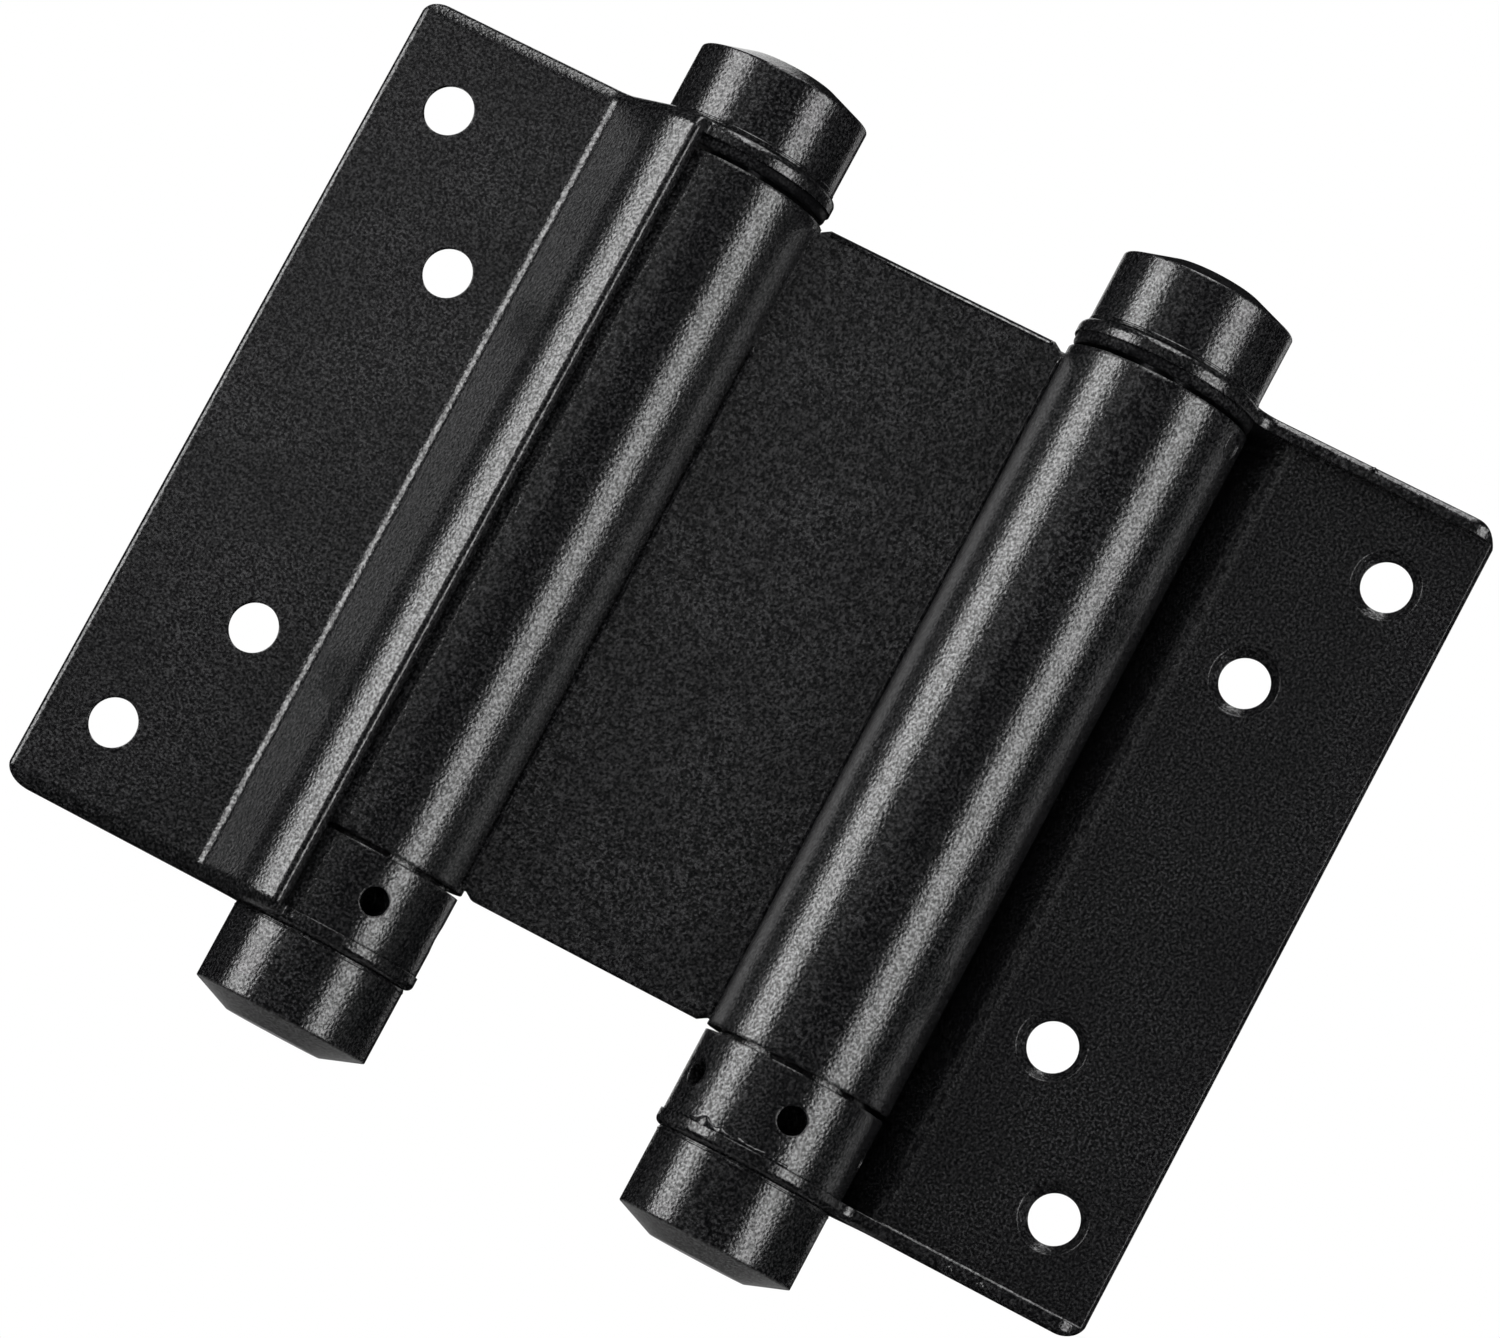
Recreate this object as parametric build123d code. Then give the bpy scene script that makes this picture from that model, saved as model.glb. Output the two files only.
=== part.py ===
from build123d import *
import math
import os

# Double action spring hinge, opened flat, in millimetres.
# +Z runs up the barrels, X runs from the jamb leaf (-X) to the door leaf (+X),
# and the origin is the middle of the hinge. The two sides match by a half turn
# about Z, so each side is drawn once, round its own barrel axis, and placed twice.
# Angles round a barrel are measured from the front (-Y) towards +X.

# Overall
axis_spacing = 40.6
leaf_height = 76.0

# Leaf pressing
leaf_sheet = 1.3
leaf_reach = 30.8
plate_depth = 2.8
rim_gap = 0.1
bend_inner_radius = 0.2
crease_radius = 1.6
crease_offset = 3.3
shell_clearance = 0.55
fillet_margin = 0.05
shell_lip_angle = 14.7
ear_lip = 0.1
ear_edge_radius = 0.6
ear_blend = 2.0
lip_blend = 0.2
corner_radius = 2.2
trim_allowance = 5.0

# Screw holes in the leaf
screw_hole = 4.4
countersink = 6.0
countersink_angle = 90.0
outer_hole_reach = 24.3
outer_hole_pitch = 59.4
inner_hole_reach = 17.55
inner_hole_pitch = 34.3

# Centre sheet with its two barrels
barrel_diameter = 16.8
barrel_sheet = 1.3
seam_gap = 0.15
curl_radius = 0.9
notch_width = 1.2
notch_depth = 0.5
running_gap = 0.45

# Tension collar
collar_inset = 0.1
collar_height = 7.4
tommy_hole = 2.5
tommy_depth = 4.2
tommy_count = 5
jamb_collar_turn = 29.0
door_collar_turn = 20.0

# Pintle, washer and tips
pintle_diameter = 6.0
pintle_clearance = 0.05
pintle_end_diameter = 5.0
pintle_end_length = 4.6
pintle_end_chamfer = 0.5
washer_inset = 0.1
washer_thickness = 0.9
washer_edge_radius = 0.4
tip_inset = 0.45
top_tip_length = 6.55
bottom_tip_length = 7.05
tip_cone = 1.35
tip_flat_diameter = 8.8
tip_edge_radius = 0.15
tip_foot_radius = 0.2
tip_bore_extra = 0.6

# Spring, its plug and the plug's pin
journal_clearance = 0.05
journal_length = 2.5
guide_length = 3.0
guide_clearance = 0.25
wire_diameter = 2.4
coil_clearance = 0.35
coil_pitch = 2.95
coil_end_gap = 0.2
tang_length = 2.2
tang_clearance = 0.1
plug_length = 5.0
plug_drop = 0.3
pin_diameter = 2.0
pin_length = 3.6
pin_drop = 1.7
pin_recess = 0.12
pin_turn = 253.0

# Sizes that follow from those above
barrel_radius = barrel_diameter / 2
bore_radius = barrel_radius - barrel_sheet
ear_top = leaf_height / 2
ear_inside = ear_top - leaf_sheet
collar_top = collar_height - ear_inside
barrel_bottom = collar_top + running_gap
barrel_top = ear_inside - washer_thickness - running_gap
barrel_length = barrel_top - barrel_bottom
barrel_middle = (barrel_top + barrel_bottom) / 2
ear_radius = barrel_radius + ear_lip
collar_radius = barrel_radius - collar_inset
washer_radius = barrel_radius - washer_inset
tip_radius = barrel_radius - tip_inset
lip_radius = barrel_radius + shell_clearance + leaf_sheet
pintle_bore = pintle_diameter / 2 + pintle_clearance
coil_radius = bore_radius - coil_clearance - wire_diameter / 2
guide_radius = coil_radius - wire_diameter / 2 - guide_clearance
journal_radius = bore_radius - journal_clearance
journal_top = barrel_bottom + journal_length
plug_top = barrel_top - plug_drop
plug_bottom = plug_top - plug_length


def heading(angle):
    """Unit vector across the barrel, `angle` degrees from the front towards +X."""
    turn = math.radians(angle)
    return Vector(math.sin(turn), -math.cos(turn), 0)


def radial_hole(angle, level, diameter, start, end):
    """Cylinder lying along a radius of the barrel, from radius `start` to `end`."""
    outward = heading(angle)
    middle = outward * ((start + end) / 2) + Vector(0, 0, level)
    return Plane(middle, z_dir=outward) * Cylinder(diameter / 2, end - start)


# Leaf pressing, drawn round the jamb barrel with its plate towards -X
def skin_path(extra):
    """Outer face of the leaf in plan: flat plate, crease, flank, then the shell's arc."""
    start = Vector(-leaf_reach - extra, -plate_depth)
    crease = Vector(-barrel_radius - crease_offset, -plate_depth)
    crease_angle = math.degrees(math.atan2(-crease.X, -crease.Y))
    flank_angle = crease_angle - math.degrees(math.acos(lip_radius / crease.length))
    flank_end = heading(-flank_angle) * lip_radius
    crown = heading(-(flank_angle + shell_lip_angle) / 2) * lip_radius
    lip = heading(-shell_lip_angle) * lip_radius
    plate = Edge.make_line(start, crease)
    flank = Edge.make_line(crease, flank_end)
    shell = Edge.make_three_point_arc(flank_end, crown, lip)
    path = Wire([plate, flank, shell])
    corner = path.vertices().sort_by_distance(crease)[0]
    return path.fillet_2d(crease_radius, [corner])


def ear_plan():
    """Plan of the top and bottom of the pressing: rim strip, ear and shell flange."""
    path = skin_path(0)
    lip = path @ 1
    rim_start = Vector(-leaf_reach, -rim_gap)
    axis = Vector(0, 0)
    closing = Polyline(lip, axis, Vector(0, -rim_gap), rim_start, path @ 0)
    plan = make_face(Wire(path.edges() + closing.edges()))
    rim_corner = plan.vertices().sort_by_distance(rim_start)[0]
    plan = fillet(rim_corner, plate_depth - rim_gap - fillet_margin)
    plan = plan + Circle(ear_radius)
    root = plan.vertices().sort_by_distance(Vector(-ear_radius, -rim_gap))[0]
    plan = fillet(root, ear_blend)
    step = plan.vertices().sort_by_distance(heading(-shell_lip_angle) * ear_radius)[0]
    return fillet(step, lip_blend)


def between_ears_plan():
    """Everything between the ears that isn't sheet, out past the leaf on all sides."""
    outer = skin_path(trim_allowance)
    inner = outer.offset_2d(leaf_sheet, side=Side.LEFT, closed=False)
    inner_start = inner.vertices().sort_by_distance(outer @ 0)[0].center()
    inner_end = inner.vertices().sort_by_distance(outer @ 1)[0].center()
    reach = leaf_reach + trim_allowance
    beyond = inner_end + heading(0) * (2 * lip_radius)
    closing = Polyline(inner_end, beyond, Vector(-reach, beyond.Y), inner_start)
    outside = make_face(Wire(inner.edges() + closing.edges()))
    field = Rectangle(2 * reach, 4 * lip_radius)
    return field - outside


def along_skin(edges, path, level):
    """Edges at one level that lie on a plan path."""
    found = []
    for edge in edges:
        middle = edge @ 0.5
        on_level = abs(middle.Z - level) < 1e-4
        on_path = path.distance_to(Vector(middle.X, middle.Y, 0)) < 1e-3
        if on_level and on_path:
            found.append(edge)
    return found


def round_ear_edges(block):
    """Outer edges of the round ends of both ears, dulled by the blanking and the coat."""
    found = []
    for edge in block.edges():
        middle = edge @ 0.5
        on_ear = abs(math.hypot(middle.X, middle.Y) - ear_radius) < 1e-4
        if on_ear and abs(abs(middle.Z) - ear_top) < 1e-4:
            found.append(edge)
    return found


def screw_cutter(reach, level):
    """Plain hole with its countersink on the concave side of the plate."""
    inner_face = -plate_depth + leaf_sheet
    depth = (countersink - screw_hole) / 2 / math.tan(math.radians(countersink_angle / 2))
    hole = Cylinder(screw_hole / 2, 4 * leaf_sheet)
    sink = Pos(0, 0, -depth / 2) * Cone(screw_hole / 2, countersink / 2, depth)
    place = Plane(Vector(-reach, inner_face, level), z_dir=Vector(0, 1, 0))
    return place * (hole + sink)


def make_leaf():
    block = extrude(ear_plan(), ear_top, both=True)
    outer = skin_path(0)
    edges = block.edges()
    bends = along_skin(edges, outer, ear_top) + along_skin(edges, outer, -ear_top)
    block = fillet(bends, bend_inner_radius + leaf_sheet)
    block = fillet(round_ear_edges(block), ear_edge_radius)

    hollow = extrude(between_ears_plan(), ear_inside, both=True)
    inner = skin_path(trim_allowance).offset_2d(leaf_sheet, side=Side.LEFT, closed=False)
    edges = hollow.edges()
    bends = along_skin(edges, inner, ear_inside) + along_skin(edges, inner, -ear_inside)
    hollow = fillet(bends, bend_inner_radius)
    leaf = block - hollow

    leaf -= Cylinder(pintle_bore, 2 * leaf_height)
    for reach, pitch in ((outer_hole_reach, outer_hole_pitch), (inner_hole_reach, inner_hole_pitch)):
        for side in (-1, 1):
            leaf -= screw_cutter(reach, side * pitch / 2)

    # The free corners of the plate are rounded as the blank was
    front = Plane(Vector(-leaf_reach, 0, 0), x_dir=Vector(1, 0, 0), z_dir=Vector(0, -1, 0))
    for side in (-1, 1):
        corner = Pos(corner_radius / 2, side * (ear_top - corner_radius / 2))
        corner = corner * Rectangle(corner_radius, corner_radius)
        corner -= Pos(corner_radius, side * (ear_top - corner_radius)) * Circle(corner_radius)
        leaf -= extrude(front * corner, 2 * plate_depth, both=True)
    return leaf


# Centre sheet
def curl_plan():
    """One barrel and its half of the web, with the curl closing on the web's front."""
    half = barrel_sheet / 2
    barrel = Pos(-axis_spacing / 2, 0) * (Circle(barrel_radius) - Circle(bore_radius))
    root = bore_radius + barrel_sheet / 2 - axis_spacing / 2
    web = Pos(root / 2, 0) * Rectangle(-root, barrel_sheet)
    plan = barrel + web
    slit_start = bore_radius - barrel_sheet / 2 - axis_spacing / 2
    slit_end = barrel_radius - axis_spacing / 2 + seam_gap / 2
    slit = Rectangle(slit_end - slit_start, seam_gap)
    slit = Pos((slit_start + slit_end) / 2, -half - seam_gap / 2) * slit
    plan -= slit
    outer_x = math.sqrt(barrel_radius**2 - half**2) - axis_spacing / 2
    back_corner = plan.vertices().sort_by_distance(Vector(outer_x, half))[0]
    return fillet(back_corner, curl_radius)


def make_barrel_plate():
    half_plate = Pos(0, 0, barrel_middle) * extrude(curl_plan(), barrel_length / 2, both=True)
    half = barrel_sheet / 2
    bend_x = math.sqrt(bore_radius**2 - half**2) - axis_spacing / 2
    bend_edge = half_plate.edges().sort_by_distance(Vector(bend_x, -half, barrel_middle))[0]
    half_plate = fillet(bend_edge, curl_radius)
    plate = half_plate + mirror(half_plate, about=Plane.YZ)

    # Relief notches where the web meets the barrels
    root = axis_spacing / 2 - barrel_radius
    for side in (-1, 1):
        for level, inward in ((barrel_top, -1), (barrel_bottom, 1)):
            floor = level + inward * notch_depth
            corners = (
                (side * root, level),
                (side * root, floor),
                (side * (root - notch_width / 3), floor),
                (side * (root - notch_width), level),
            )
            notch = Plane.XZ * make_face(Polyline(*corners, close=True))
            plate -= extrude(notch, barrel_sheet / 2 + curl_radius, both=True)

    level = barrel_top - pin_drop
    past = barrel_radius + barrel_sheet
    jamb_hole = radial_hole(pin_turn, level, pin_diameter, bore_radius - barrel_sheet, past)
    jamb_hole = Pos(-axis_spacing / 2, 0, 0) * jamb_hole
    plate -= jamb_hole
    plate -= Rot(0, 0, 180) * jamb_hole
    return plate


# Turned pieces, each round its own axis
def make_collar(turn):
    half_plan = (
        (pintle_bore, -ear_inside),
        (collar_radius, -ear_inside),
        (collar_radius, collar_top),
        (journal_radius, collar_top),
        (journal_radius, journal_top),
        (guide_radius, journal_top),
        (guide_radius, journal_top + guide_length),
        (pintle_bore, journal_top + guide_length),
    )
    collar = revolve(Plane.XZ * make_face(Polyline(*half_plan, close=True)), Axis.Z)
    level = collar_height / 2 - ear_inside
    for index in range(tommy_count):
        angle = turn + index * 360 / tommy_count
        floor = collar_radius - tommy_depth
        collar -= radial_hole(angle, level, tommy_hole, floor, collar_radius + tommy_hole)
    return collar


def make_washer():
    ring = Cylinder(washer_radius, washer_thickness) - Cylinder(pintle_bore, washer_thickness)
    rim = ring.edges().sort_by(Axis.Z)[:2].sort_by(SortBy.RADIUS)[-1]
    ring = fillet(rim, washer_edge_radius)
    return Pos(0, 0, ear_inside - washer_thickness / 2) * ring


def make_pintle():
    radius = pintle_diameter / 2
    end_radius = pintle_end_diameter / 2
    end = ear_top + pintle_end_length
    half_plan = (
        (0, -end),
        (end_radius - pintle_end_chamfer, -end),
        (end_radius, -end + pintle_end_chamfer),
        (end_radius, -ear_top),
        (radius, -ear_top),
        (radius, ear_top),
        (end_radius, ear_top),
        (end_radius, end - pintle_end_chamfer),
        (end_radius - pintle_end_chamfer, end),
        (0, end),
    )
    return revolve(Plane.XZ * make_face(Polyline(*half_plan, close=True)), Axis.Z)


def make_tip(length):
    """Upward tip: a turned cup with a conical end, bored for the pintle's end."""
    bore = pintle_end_diameter / 2
    bore_top = ear_top + pintle_end_length + tip_bore_extra
    shoulder = ear_top + length
    half_plan = make_face(Polyline(
        (bore, ear_top),
        (tip_radius, ear_top),
        (tip_radius, shoulder),
        (tip_flat_diameter / 2, shoulder + tip_cone),
        (0, shoulder + tip_cone),
        (0, bore_top),
        (bore, bore_top),
        close=True,
    ))
    edge = half_plan.vertices().sort_by_distance(Vector(tip_radius, shoulder))[0]
    half_plan = fillet(edge, tip_edge_radius)
    foot = half_plan.vertices().sort_by_distance(Vector(tip_radius, ear_top))[0]
    half_plan = fillet(foot, tip_foot_radius)
    return revolve(Plane.XZ * half_plan, Axis.Z)


def make_plug():
    plug = Pos(0, 0, plug_bottom + plug_length / 2) * Cylinder(journal_radius, plug_length)
    plug += Pos(0, 0, plug_bottom - guide_length / 2) * Cylinder(guide_radius, guide_length)
    plug -= Cylinder(pintle_bore, 2 * leaf_height)
    plug -= radial_hole(pin_turn, barrel_top - pin_drop, pin_diameter, pin_seat(), barrel_radius)
    tang_hole = Cylinder(wire_diameter / 2 + tang_clearance, 2 * tang_length)
    return plug - coil_end() * tang_hole


def pin_seat():
    """Radius at which the plug's blind pin hole ends."""
    return barrel_radius - pin_recess - pin_length


def make_pin():
    level = barrel_top - pin_drop
    return radial_hole(pin_turn, level, pin_diameter, pin_seat(), barrel_radius - pin_recess)


def coil_bottom():
    return journal_top + coil_end_gap + wire_diameter / 2


def coil_top():
    return plug_bottom - coil_end_gap - wire_diameter / 2


def coil_end():
    """Where the coil's upper end turns up into the plug."""
    turns = (coil_top() - coil_bottom()) / coil_pitch
    angle = math.radians(360 * turns)
    across = Vector(coil_radius * math.cos(angle), coil_radius * math.sin(angle), 0)
    return Pos(across.X, across.Y, plug_bottom)


def make_spring():
    helix = Pos(0, 0, coil_bottom()) * Helix(coil_pitch, coil_top() - coil_bottom(), coil_radius)
    section = Plane(helix @ 0, z_dir=helix % 0) * Circle(wire_diameter / 2)
    spring = sweep(section, path=helix, is_frenet=True)
    rise = tang_length + coil_end_gap + wire_diameter / 2
    tang = Pos(0, 0, tang_length - rise / 2) * Cylinder(wire_diameter / 2, rise)
    return spring + coil_end() * tang


# Placing the two sides
jamb_side = Pos(-axis_spacing / 2, 0, 0)
door_side = Rot(0, 0, 180) * jamb_side
leaf = make_leaf()
top_tip = make_tip(top_tip_length)
bottom_tip = mirror(make_tip(bottom_tip_length), about=Plane.XY)
washer = make_washer()
pintle = make_pintle()
spring = make_spring()
plug = make_plug()
pin = make_pin()

nodes = {"barrel_plate": make_barrel_plate()}
for name, side, collar_turn in (
    ("jamb", jamb_side, jamb_collar_turn),
    ("door", door_side, door_collar_turn - 180),
):
    nodes[name + "_leaf"] = side * leaf
    nodes[name + "_pintle"] = side * pintle
    nodes[name + "_top_tip"] = side * top_tip
    nodes[name + "_bottom_tip"] = side * bottom_tip
    nodes[name + "_thrust_washer"] = side * washer
    nodes[name + "_tension_collar"] = side * make_collar(collar_turn)
    nodes[name + "_torsion_spring"] = side * spring
    nodes[name + "_spring_plug"] = side * plug
    nodes[name + "_plug_pin"] = side * pin

os.makedirs("parts", exist_ok=True)
for name, shape in nodes.items():
    export_step(shape, "parts/" + name + ".step")
    print(name)
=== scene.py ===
import math

import bmesh
import bpy
from mathutils import Matrix, Vector, noise


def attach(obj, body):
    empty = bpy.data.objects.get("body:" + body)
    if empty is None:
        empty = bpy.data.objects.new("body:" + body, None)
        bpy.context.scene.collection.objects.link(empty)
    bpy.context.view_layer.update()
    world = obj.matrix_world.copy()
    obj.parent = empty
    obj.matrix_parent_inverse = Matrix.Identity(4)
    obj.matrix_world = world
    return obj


# Double action cafe hinge, opened flat, in black textured powder coat.
# Metres, +Z up the barrels, jamb leaf towards -X, door leaf towards +X.

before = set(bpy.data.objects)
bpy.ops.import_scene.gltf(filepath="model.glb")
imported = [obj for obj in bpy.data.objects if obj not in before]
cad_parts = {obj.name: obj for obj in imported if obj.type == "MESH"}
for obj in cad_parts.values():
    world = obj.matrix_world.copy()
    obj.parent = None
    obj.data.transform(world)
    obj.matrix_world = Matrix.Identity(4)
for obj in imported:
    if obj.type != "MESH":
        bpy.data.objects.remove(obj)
for spare in ("Cube", "Light", "Camera"):      # what a new file starts with
    if spare in bpy.data.objects:
        bpy.data.objects.remove(bpy.data.objects[spare])
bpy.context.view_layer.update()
print("frame loaded:", len(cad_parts), "nodes")

# What several pieces share, taken from the solids
hinge = {
    "axisX": 0.0203,          # barrel axis from the middle
    "earTop": 0.038,
    "barrelRadius": 0.0084,
    "tipRadius": 0.00795,
}
up = Vector((0, 0, 1))
white = (1, 1, 1, 1)


def linearColor(hexText):
    channels = [int(hexText[i:i + 2], 16) / 255 for i in (1, 3, 5)]
    return [c / 12.92 if c <= 0.04045 else ((c + 0.055) / 1.055) ** 2.4 for c in channels] + [1.0]


def addNode(tree, kind, values=None, links=None, **settings):
    node = tree.nodes.new(kind)
    for name, value in settings.items():
        setattr(node, name, value)
    for socket, value in (values or {}).items():
        node.inputs[socket].default_value = value
    for socket, source in (links or {}).items():
        tree.links.new(source, node.inputs[socket])
    return node


def newMaterial(name):
    material = bpy.data.materials.new(name)
    material.use_nodes = True
    material.node_tree.nodes.clear()
    return material, material.node_tree


def spread(tree, source, span, low, high):
    values = {"From Min": span[0], "From Max": span[1], "To Min": low, "To Max": high}
    return addNode(tree, "ShaderNodeMapRange", values, {"Value": source}).outputs["Result"]


def raised(tree, height, rise, under=None, strength=1.0, invert=False):
    links = {"Height": height}
    if under is not None:
        links["Normal"] = under
    bump = addNode(tree, "ShaderNodeBump", {"Strength": strength, "Distance": rise}, links,
                   invert=invert)
    return bump.outputs["Normal"]


# Textured powder coat: polyester powder sprayed on steel and baked. It flows only partly,
# so it keeps a fine grain that breaks each highlight into specks, over a faint orange peel.
coat = {
    "hollow": "#050506",      # painted shade between the grains, darker than the coat's own black
    "body": "#141415",
    "grain": "#303031",       # painted light on the tops of the grains, lighter than the coat's own black
    "cloud": "#0b0b0c",       # slow change in the coat's depth
    "colorStops": (0.38, 0.50, 0.66),      # painted hollow shade, body and painted grain-top light in the grain's noise
    "cloudSpan": (0.35, 0.70),
    "roughSpan": (0.30, 0.70),
    "shineSpan": (0.36, 0.66),
    "grainMm": 0.25,          # a little coarser than the real grain, so that it shows
    "speckMm": 0.32,
    "peelMm": 1.4,
    "cloudMm": 9.0,
    "grainHeightMm": 0.026,
    "peelHeightMm": 0.010,
    "speckShare": 0.6,        # how strongly the specks stand out, against the grain's 1
    "roughLow": 0.15,
    "roughHigh": 0.20,
    "shineLow": 0.24,         # pits between the grains send back less light
    "shineHigh": 0.86,
    "edgeMm": 0.28,           # how round the coat makes a sheared edge
    "edgeSamples": 6,
}


def powderCoat(name, cloudShare=0.45, grainHeight=1.0, edge=1.0, rougher=0.0, shineShare=1.0):
    material, tree = newMaterial(name)
    place = addNode(tree, "ShaderNodeTexCoord").outputs["Object"]
    grain = addNode(tree, "ShaderNodeTexNoise",
                    {"Scale": 1000 / coat["grainMm"], "Detail": 2.0, "Roughness": 0.6},
                    {"Vector": place})
    speck = addNode(tree, "ShaderNodeTexVoronoi",
                    {"Scale": 1000 / coat["speckMm"], "Randomness": 1.0}, {"Vector": place})
    peel = addNode(tree, "ShaderNodeTexNoise",
                   {"Scale": 1000 / coat["peelMm"], "Detail": 1.0}, {"Vector": place})
    cloud = addNode(tree, "ShaderNodeTexNoise",
                    {"Scale": 1000 / coat["cloudMm"], "Detail": 3.0}, {"Vector": place})

    # The body colour is the coat's own black; the darker hollows and lighter grain tops are
    # painted shade and painted light.
    hollowShadeAt, bodyAt, grainAt = coat["colorStops"]
    grainToneAndShadeRamp = addNode(tree, "ShaderNodeValToRGB", links={"Fac": grain.outputs["Fac"]})
    stops = grainToneAndShadeRamp.color_ramp.elements
    stops[0].position, stops[0].color = hollowShadeAt, linearColor(coat["hollow"])
    stops[1].position, stops[1].color = grainAt, linearColor(coat["grain"])
    middle = stops.new(bodyAt)
    middle.color = linearColor(coat["body"])
    depth = spread(tree, cloud.outputs["Fac"], coat["cloudSpan"], 0.0, cloudShare)
    color = addNode(tree, "ShaderNodeMix", {7: linearColor(coat["cloud"])},
                    {0: depth, 6: grainToneAndShadeRamp.outputs["Color"]}, data_type="RGBA")
    rough = spread(tree, grain.outputs["Fac"], coat["roughSpan"],
                   coat["roughHigh"] + rougher, coat["roughLow"] + rougher)
    shine = spread(tree, grain.outputs["Fac"], coat["shineSpan"],
                   coat["shineLow"] * shineShare, coat["shineHigh"] * shineShare)

    rounded = addNode(tree, "ShaderNodeBevel", {"Radius": coat["edgeMm"] / 1000 * edge},
                      samples=coat["edgeSamples"])
    rise = coat["grainHeightMm"] / 1000 * grainHeight
    relief = raised(tree, peel.outputs["Fac"], coat["peelHeightMm"] / 1000,
                    rounded.outputs["Normal"])
    relief = raised(tree, grain.outputs["Fac"], rise, relief)
    relief = raised(tree, speck.outputs["Distance"], rise, relief, coat["speckShare"], True)
    shader = addNode(tree, "ShaderNodeBsdfPrincipled", {"IOR": 1.5, "Metallic": 0.0},
                     {"Base Color": color.outputs[2], "Roughness": rough,
                      "Specular IOR Level": shine, "Normal": relief})
    addNode(tree, "ShaderNodeOutputMaterial", links={"Surface": shader.outputs["BSDF"]})
    return material


# Turned or drawn steel: bright, with fine rings left by the tool and a little oil stain.
turned = {
    "waver": 0.6,             # how unevenly the rings run
    "ringHeight": 0.000006,
    "ringStrength": 0.5,
    "stainScale": 400.0,
    "stainShade": 0.72,
    "roughLow": 0.25,
    "roughHigh": 0.42,
}


def turnedSteel(name, hexText, ringScale):
    material, tree = newMaterial(name)
    place = addNode(tree, "ShaderNodeTexCoord").outputs["Object"]
    rings = addNode(tree, "ShaderNodeTexWave",
                    {"Scale": ringScale, "Distortion": turned["waver"], "Detail": 2.0},
                    {"Vector": place}, wave_type="BANDS", bands_direction="Z")
    stain = addNode(tree, "ShaderNodeTexNoise", {"Scale": turned["stainScale"], "Detail": 4.0},
                    {"Vector": place})
    tone = addNode(tree, "ShaderNodeValToRGB", links={"Fac": stain.outputs["Fac"]})
    base = linearColor(hexText)
    tone.color_ramp.elements[0].color = [c * turned["stainShade"] for c in base[:3]] + [1.0]
    tone.color_ramp.elements[1].color = base
    rough = spread(tree, stain.outputs["Fac"], (0.0, 1.0), turned["roughLow"], turned["roughHigh"])
    relief = raised(tree, rings.outputs["Fac"], turned["ringHeight"],
                    strength=turned["ringStrength"])
    shader = addNode(tree, "ShaderNodeBsdfPrincipled", {"Metallic": 1.0},
                     {"Base Color": tone.outputs["Color"], "Roughness": rough, "Normal": relief})
    addNode(tree, "ShaderNodeOutputMaterial", links={"Surface": shader.outputs["BSDF"]})
    return material


# Where the powder gathers it melts thicker and levels out, so it is smoother and glossier.
pooledCoat = powderCoat("pooledPowderCoat", cloudShare=0.2, grainHeight=0.25, edge=0.3,
                        rougher=-0.04)
finishes = {
    "leaf": powderCoat("sheetPowderCoat", edge=0.6),
    "barrel_plate": powderCoat("barrelPowderCoat", edge=1.6),
    "top_tip": powderCoat("topTipPowderCoat"),
    "bottom_tip": powderCoat("bottomTipPowderCoat"),
    "tension_collar": powderCoat("collarPowderCoat"),
    # The washers sit in the shaded gap under the ears: their coat is painted darker and almost
    # without reflection, as painted shade.
    "thrust_washer": powderCoat("washerPowderCoat", cloudShare=1.0, rougher=0.12,
                                shineShare=0.04),
    "plug_pin": powderCoat("pinPowderCoat", grainHeight=0.7),
    "pintle": turnedSteel("turnedPintleSteel", "#b4b5b8", 200.0),
    "spring_plug": turnedSteel("turnedPlugSteel", "#a9aaad", 166.7),
    "torsion_spring": turnedSteel("oilTemperedSpringWire", "#4a4b50", 333.3),
}
for nodeName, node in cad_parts.items():
    kind = nodeName.replace("jamb_", "").replace("door_", "")
    node.data.materials.clear()
    node.data.materials.append(finishes[kind])
print("finishes on", len(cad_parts), "nodes")


def heading(degrees):
    turn = math.radians(degrees)           # round a barrel, from the front towards +X
    return Vector((math.sin(turn), -math.cos(turn), 0))


# A circle in the plane of a barrel's axis, to be spun round that axis
def standingCircle(shape, sections, radius, centre, closed=False):
    bmesh.ops.create_circle(shape, segments=sections, radius=radius, cap_ends=closed)
    bmesh.ops.rotate(shape, verts=shape.verts, cent=(0, 0, 0),
                     matrix=Matrix.Rotation(math.pi / 2, 3, "X"))
    bmesh.ops.translate(shape, verts=shape.verts, vec=centre)


def spinRing(shape, centre, axis, steps):
    bmesh.ops.spin(shape, geom=shape.edges[:] + shape.verts[:], cent=centre, axis=axis,
                   angle=2 * math.pi, steps=steps, use_merge=True, use_duplicate=False)


def finishPiece(name, shape, body, finish):
    bmesh.ops.remove_doubles(shape, verts=shape.verts, dist=1e-8)
    bmesh.ops.recalc_face_normals(shape, faces=shape.faces)
    mesh = bpy.data.meshes.new(name)
    shape.to_mesh(mesh)
    shape.free()
    for face in mesh.polygons:
        face.use_smooth = True
    mesh.materials.append(finish)
    piece = bpy.data.objects.new(name, mesh)
    bpy.context.scene.collection.objects.link(piece)
    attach(piece, body)
    return piece


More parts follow.
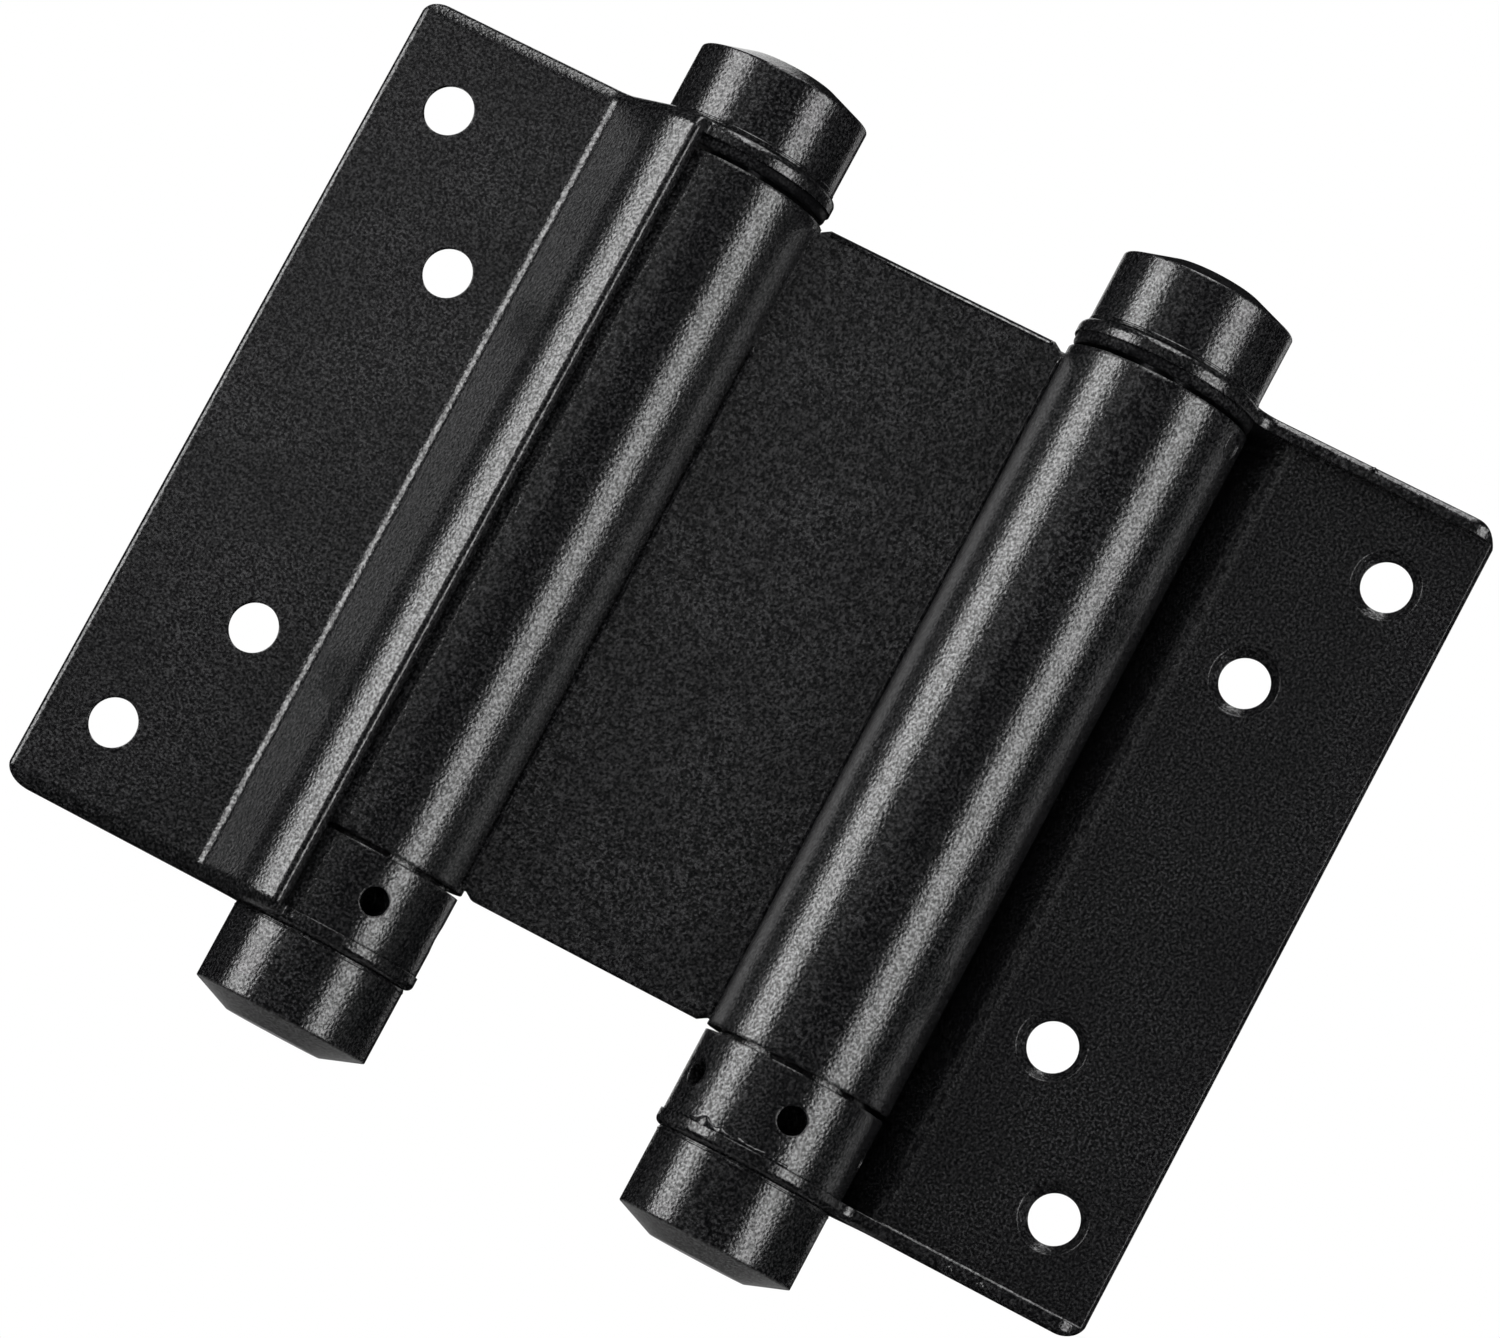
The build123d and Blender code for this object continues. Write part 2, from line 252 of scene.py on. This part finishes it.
# Paint gathered along the centre sheet: a thin ridge in the corner where each barrel
# closes on it, and a fat edge along its sheared top, which catches the light from above
sheetPaint = {
    "slices": 90,
    "waver": 0.18,            # how much the thickness changes along a ridge
    "waverPerMetre": 700,
    "endShare": 0.5,          # thickness left at the end
    "sections": 16,
    "ridges": (               # name, start, end, radius
        ("jambSeamPaint", (-0.011780, -0.00080, -0.0280), (-0.011780, -0.00080, 0.0236), 0.00016),
        ("doorSeamPaint", (0.011780, -0.00080, -0.0280), (0.011780, -0.00080, 0.0344), 0.00016),
        ("topEdgePaint", (-0.0106, -0.00059, 0.03508), (0.0106, -0.00059, 0.03508), 0.00026),
    ),
}
for name, start, end, radius in sheetPaint["ridges"]:
    start, end = Vector(start), Vector(end)
    along = (end - start).normalized()
    shape = bmesh.new()
    bmesh.ops.create_circle(shape, segments=sheetPaint["sections"], radius=radius, cap_ends=True)
    bmesh.ops.rotate(shape, verts=shape.verts, cent=(0, 0, 0),
                     matrix=along.to_track_quat("Z", "Y").to_matrix())
    bmesh.ops.translate(shape, verts=shape.verts, vec=start)
    face = shape.faces[:]
    for step in range(1, sheetPaint["slices"] + 1):
        grown = bmesh.ops.extrude_face_region(shape, geom=face)["geom"]
        face = [part for part in grown if isinstance(part, bmesh.types.BMFace)]
        middle = start.lerp(end, step / sheetPaint["slices"])
        growth = 1 + sheetPaint["waver"] * noise.noise(middle * sheetPaint["waverPerMetre"])
        if step == sheetPaint["slices"]:
            growth = sheetPaint["endShare"]
        for vertex in face[0].verts:
            out = vertex.co - middle
            out -= along * out.dot(along)
            vertex.co = middle + out.normalized() * radius * growth
    finishPiece(name, shape, "barrel_plate", pooledCoat)
print("seam paint")

# Fine bead of paint round the foot of each tip, over the crack at the ear
footBead = {
    "radius": 0.00013,
    "lift": 0.00034,          # middle of the bead from the ear
    "proud": 0.00005,
    "sections": 10,
    "steps": 120,
}
for side, leafBody in ((-1, "jamb"), (1, "door")):
    for end, endName in ((1, "Top"), (-1, "Bottom")):
        level = end * (hinge["earTop"] + footBead["lift"])
        ringRadius = hinge["tipRadius"] + footBead["proud"] - footBead["radius"]
        axis = Vector((side * hinge["axisX"], 0, level))
        shape = bmesh.new()
        standingCircle(shape, footBead["sections"], footBead["radius"],
                       axis + Vector((ringRadius, 0, 0)))
        spinRing(shape, axis, up, footBead["steps"])
        name = leafBody + endName + "FootBead"
        finishPiece(name, shape, leafBody + "_leaf", pooledCoat)
print("foot beads")

# Ridge of paint that cracked off where the door collar meets its ear
collarFlake = {
    "from": -44.0,            # degrees round the barrel
    "to": 30.0,
    "radius": 0.00014,
    "level": -0.03652,
    "ringRadius": 0.00826,
    "sections": 10,
    "steps": 90,
    "waver": 0.35,            # how much the thickness changes round the ridge
    "waverPerDegree": 0.5,
    "waverPlace": 3.7,        # another number gives another run of waves
    "bulge": 0.00003,         # how far a lump stands out, for a growth of 1
    "lumps": (                # at, width in degrees, growth
        (-26.0, 5.0, 3.6), (-14.0, 2.6, 1.6), (-2.0, 3.5, 1.1), (16.0, 5.0, 0.8),
    ),
}
axis = Vector((hinge["axisX"], 0, collarFlake["level"]))
shape = bmesh.new()
standingCircle(shape, collarFlake["sections"], collarFlake["radius"],
               axis + Vector((collarFlake["ringRadius"], 0, 0)), closed=True)
bmesh.ops.rotate(shape, verts=shape.verts, cent=axis,
                 matrix=Matrix.Rotation(math.radians(collarFlake["from"] - 90), 3, "Z"))
bmesh.ops.spin(shape, geom=shape.faces[:], cent=axis, axis=up,
               angle=math.radians(collarFlake["to"] - collarFlake["from"]),
               steps=collarFlake["steps"], use_duplicate=False)
for vertex in shape.verts:
    out = vertex.co - axis
    turn = math.degrees(math.atan2(out.x, -out.y))
    wave = Vector((turn * collarFlake["waverPerDegree"], collarFlake["waverPlace"], 0))
    growth = collarFlake["waver"] * noise.noise(wave)
    for at, width, more in collarFlake["lumps"]:
        growth += more * math.exp(-((turn - at) / width) ** 2)
    centre = axis + heading(turn) * collarFlake["ringRadius"]
    away = vertex.co - centre
    away.z *= 1 + growth
    vertex.co = centre + away + heading(turn) * (collarFlake["bulge"] * growth)
finishPiece("collarPaintRidge", shape, "door_tension_collar", pooledCoat)

# Nibs of paint left by the hooks that held the leaf in the oven
nibs = {
    "places": (
        ("topRimNib", (0.03937, 0.00030, 0.03765)),
        ("bottomRimNibA", (0.03904, 0.00025, -0.03740)),
        ("bottomRimNibB", (0.04199, 0.00025, -0.03740)),
    ),
    "size": (0.00042, 0.00030, 0.00030),
    "lump": 0.22,             # how far each nib departs from an egg
    "lumpScale": 1.7,
}
for name, place in nibs["places"]:
    shape = bmesh.new()
    bmesh.ops.create_icosphere(shape, subdivisions=3, radius=1.0)
    for vertex in shape.verts:
        spot = vertex.co * nibs["lumpScale"] + Vector(place) * 1000     # differs from nib to nib
        vertex.co *= 1 + nibs["lump"] * noise.noise(spot)
    bmesh.ops.scale(shape, verts=shape.verts, vec=nibs["size"])
    bmesh.ops.translate(shape, verts=shape.verts, vec=place)
    finishPiece(name, shape, "door_leaf", pooledCoat)

# Ridge of paint round the end of each drive pin
pinRidge = {
    "turn": 253.0,            # degrees round the jamb barrel; the door barrel's is half a turn on
    "level": 0.03365,
    "ringRadius": 0.00116,
    "radius": 0.00009,
    "sections": 8,
    "steps": 48,
}
for side, name, turn in ((-1, "jambPinRidge", pinRidge["turn"]),
                         (1, "doorPinRidge", pinRidge["turn"] - 180)):
    out = heading(turn)
    across = up.cross(out)
    centre = Vector((side * hinge["axisX"], 0, pinRidge["level"])) + out * hinge["barrelRadius"]
    shape = bmesh.new()
    bmesh.ops.create_circle(shape, segments=pinRidge["sections"], radius=pinRidge["radius"])
    facing = Matrix((out, up, across)).transposed()      # circle's own x, y, z
    bmesh.ops.rotate(shape, verts=shape.verts, cent=(0, 0, 0), matrix=facing)
    bmesh.ops.translate(shape, verts=shape.verts, vec=centre + up * pinRidge["ringRadius"])
    spinRing(shape, centre, out, pinRidge["steps"])
    for vertex in shape.verts:             # bent to the barrel
        drift = (vertex.co - centre).dot(across)
        vertex.co -= out * (drift ** 2 / 2 / hinge["barrelRadius"])
    finishPiece(name, shape, "barrel_plate", pooledCoat)
print("paint ridges and nibs")

# Floor, backdrop and light
studio = {
    "floorLevel": -0.04646,
    "floorHalf": 3.0,
    "floorColor": "#ececeb",
    "floorPaleness": 0.45,        # share of plain white the camera sees in the floor
    "tentRadius": 1.2,
    "tentColor": "#161616",
    "underTipGlow": 0.26,
    "underTipRadius": 0.013,
    "paperLift": 0.00002,
    "fill": 0.15,                 # world light on the object, of a white of 1
    "lamps": {                    # place, aim, width, height, watts
        "leftStrip": ((-0.296, -0.190, 0.045), (0, 0, 0), 0.19, 0.28, 1.12),
        "rightStrip": ((0.272, -0.168, 0.045), (0, 0, 0), 0.15, 0.28, 0.72),
        "overhead": ((-0.05, -0.25, 0.50), (-0.05, -0.24, 0), 0.24, 0.80, 2.90),
        "softCard": ((-0.165, -0.48, 0.085), (0, 0, 0.01), 0.21, 0.17, 0.042),
        "backLeftStrip": ((-0.14, 0.36, 0.12), (0, 0, 0), 0.06, 0.30, 0.06),
        "backRightStrip": ((0.14, 0.36, 0.12), (0, 0, 0), 0.06, 0.30, 0.06),
    },
}
allButGlossy = ("camera", "diffuse", "transmission", "volume_scatter", "shadow")


def stagePiece(name, shape, material, hiddenFrom):
    mesh = bpy.data.meshes.new(name)
    shape.to_mesh(mesh)
    shape.free()
    mesh.materials.append(material)
    piece = bpy.data.objects.new(name, mesh)
    bpy.context.scene.collection.objects.link(piece)
    for ray in hiddenFrom:
        setattr(piece, "visible_" + ray, False)
    return piece


# The floor is clear from below, because the photo looks from just below its level
floorMaterial, tree = newMaterial("paleFloor")
paint = addNode(tree, "ShaderNodeBsdfDiffuse", {"Color": linearColor(studio["floorColor"])})
eye = addNode(tree, "ShaderNodeLightPath")
share = addNode(tree, "ShaderNodeMath", {1: studio["floorPaleness"]},
                {0: eye.outputs["Is Camera Ray"]}, operation="MULTIPLY")
plainWhite = addNode(tree, "ShaderNodeEmission", {"Color": white, "Strength": 1.0})
upper = addNode(tree, "ShaderNodeMixShader",
                links={0: share.outputs[0], 1: paint.outputs[0], 2: plainWhite.outputs[0]})
clear = addNode(tree, "ShaderNodeBsdfTransparent")
under = addNode(tree, "ShaderNodeNewGeometry")
mixed = addNode(tree, "ShaderNodeMixShader",
                links={0: under.outputs["Backfacing"], 1: upper.outputs[0], 2: clear.outputs[0]})
addNode(tree, "ShaderNodeOutputMaterial", links={"Surface": mixed.outputs[0]})
shape = bmesh.new()
bmesh.ops.create_grid(shape, x_segments=1, y_segments=1, size=studio["floorHalf"])
bmesh.ops.translate(shape, verts=shape.verts, vec=(0, 0, studio["floorLevel"]))
floor = stagePiece("floor", shape, floorMaterial, ("glossy",))

# Black tent that only reflections see, as is put round a dark product in a studio
tentMaterial, tree = newMaterial("blackVelvet")
cloth = addNode(tree, "ShaderNodeBsdfDiffuse", {"Color": linearColor(studio["tentColor"])})
addNode(tree, "ShaderNodeOutputMaterial", links={"Surface": cloth.outputs[0]})
shape = bmesh.new()
bmesh.ops.create_uvsphere(shape, u_segments=48, v_segments=24, radius=studio["tentRadius"])
tent = stagePiece("blackTent", shape, tentMaterial, allButGlossy)

# Glowing discs right under the tips, which their lower cones mirror and nothing else does: they
# are no lamps, and they paint a reflection into the cones that is brighter than the shaded floor
# there would give.
reflectionGlowMaterial, tree = newMaterial("litPaper")
glow = addNode(tree, "ShaderNodeEmission", {"Color": white, "Strength": studio["underTipGlow"]})
addNode(tree, "ShaderNodeOutputMaterial", links={"Surface": glow.outputs[0]})
for side, name in ((-1, "jambPaper"), (1, "doorPaper")):
    shape = bmesh.new()
    bmesh.ops.create_circle(shape, segments=48, radius=studio["underTipRadius"], cap_ends=True)
    bmesh.ops.translate(shape, verts=shape.verts,
                        vec=(side * hinge["axisX"], 0, studio["floorLevel"] + studio["paperLift"]))
    reflectionGlow = stagePiece(name, shape, reflectionGlowMaterial, allButGlossy)

# White backdrop for what looks at it straight, in a reflection or through something,
# and a low fill for the light that falls on the object
world = bpy.data.worlds.new("studioWorld")
bpy.context.scene.world = world
world.use_nodes = True
tree = world.node_tree
tree.nodes.clear()
path = addNode(tree, "ShaderNodeLightPath")
direct = addNode(tree, "ShaderNodeMath", operation="MAXIMUM",
                 links={0: path.outputs["Is Camera Ray"], 1: path.outputs["Is Glossy Ray"]})
seen = addNode(tree, "ShaderNodeMath", operation="MAXIMUM",
               links={0: direct.outputs[0], 1: path.outputs["Is Transmission Ray"]})
fill = addNode(tree, "ShaderNodeBackground", {"Color": white, "Strength": studio["fill"]})
backdrop = addNode(tree, "ShaderNodeBackground", {"Color": white, "Strength": 1.0})
both = addNode(tree, "ShaderNodeMixShader",
               links={0: seen.outputs[0], 1: fill.outputs[0], 2: backdrop.outputs[0]})
addNode(tree, "ShaderNodeOutputWorld", links={"Surface": both.outputs[0]})

for name, (place, aim, width, height, watts) in studio["lamps"].items():
    lamp = bpy.data.lights.new(name, "AREA")
    lamp.shape = "RECTANGLE"
    lamp.size, lamp.size_y = width, height
    lamp.energy = watts
    strip = bpy.data.objects.new(name, lamp)
    strip.location = place
    strip.rotation_euler = (Vector(aim) - Vector(place)).to_track_quat("-Z", "Y").to_euler()
    strip.visible_camera = False
    bpy.context.scene.collection.objects.link(strip)
print("floor, backdrop and", len(studio["lamps"]), "lamps")

# Camera at the photo's viewing angle
view = {
    "place": (0.100125, -0.505907, -0.055725),
    "turn": (96.8866, -28.0743, 7.8526),       # degrees
    "lens": 148.76,
    "sensor": 36,
    "clip": (0.05, 20),
}
cameraData = bpy.data.cameras.new("photoCamera")
cameraData.sensor_fit = "HORIZONTAL"
cameraData.sensor_width = view["sensor"]
cameraData.lens = view["lens"]
cameraData.clip_start, cameraData.clip_end = view["clip"]
camera = bpy.data.objects.new("photoCamera", cameraData)
camera.location = view["place"]
camera.rotation_euler = [math.radians(turn) for turn in view["turn"]]
bpy.context.scene.collection.objects.link(camera)
bpy.context.scene.camera = camera
bpy.context.scene.view_settings.view_transform = "Standard"
bpy.context.view_layer.update()
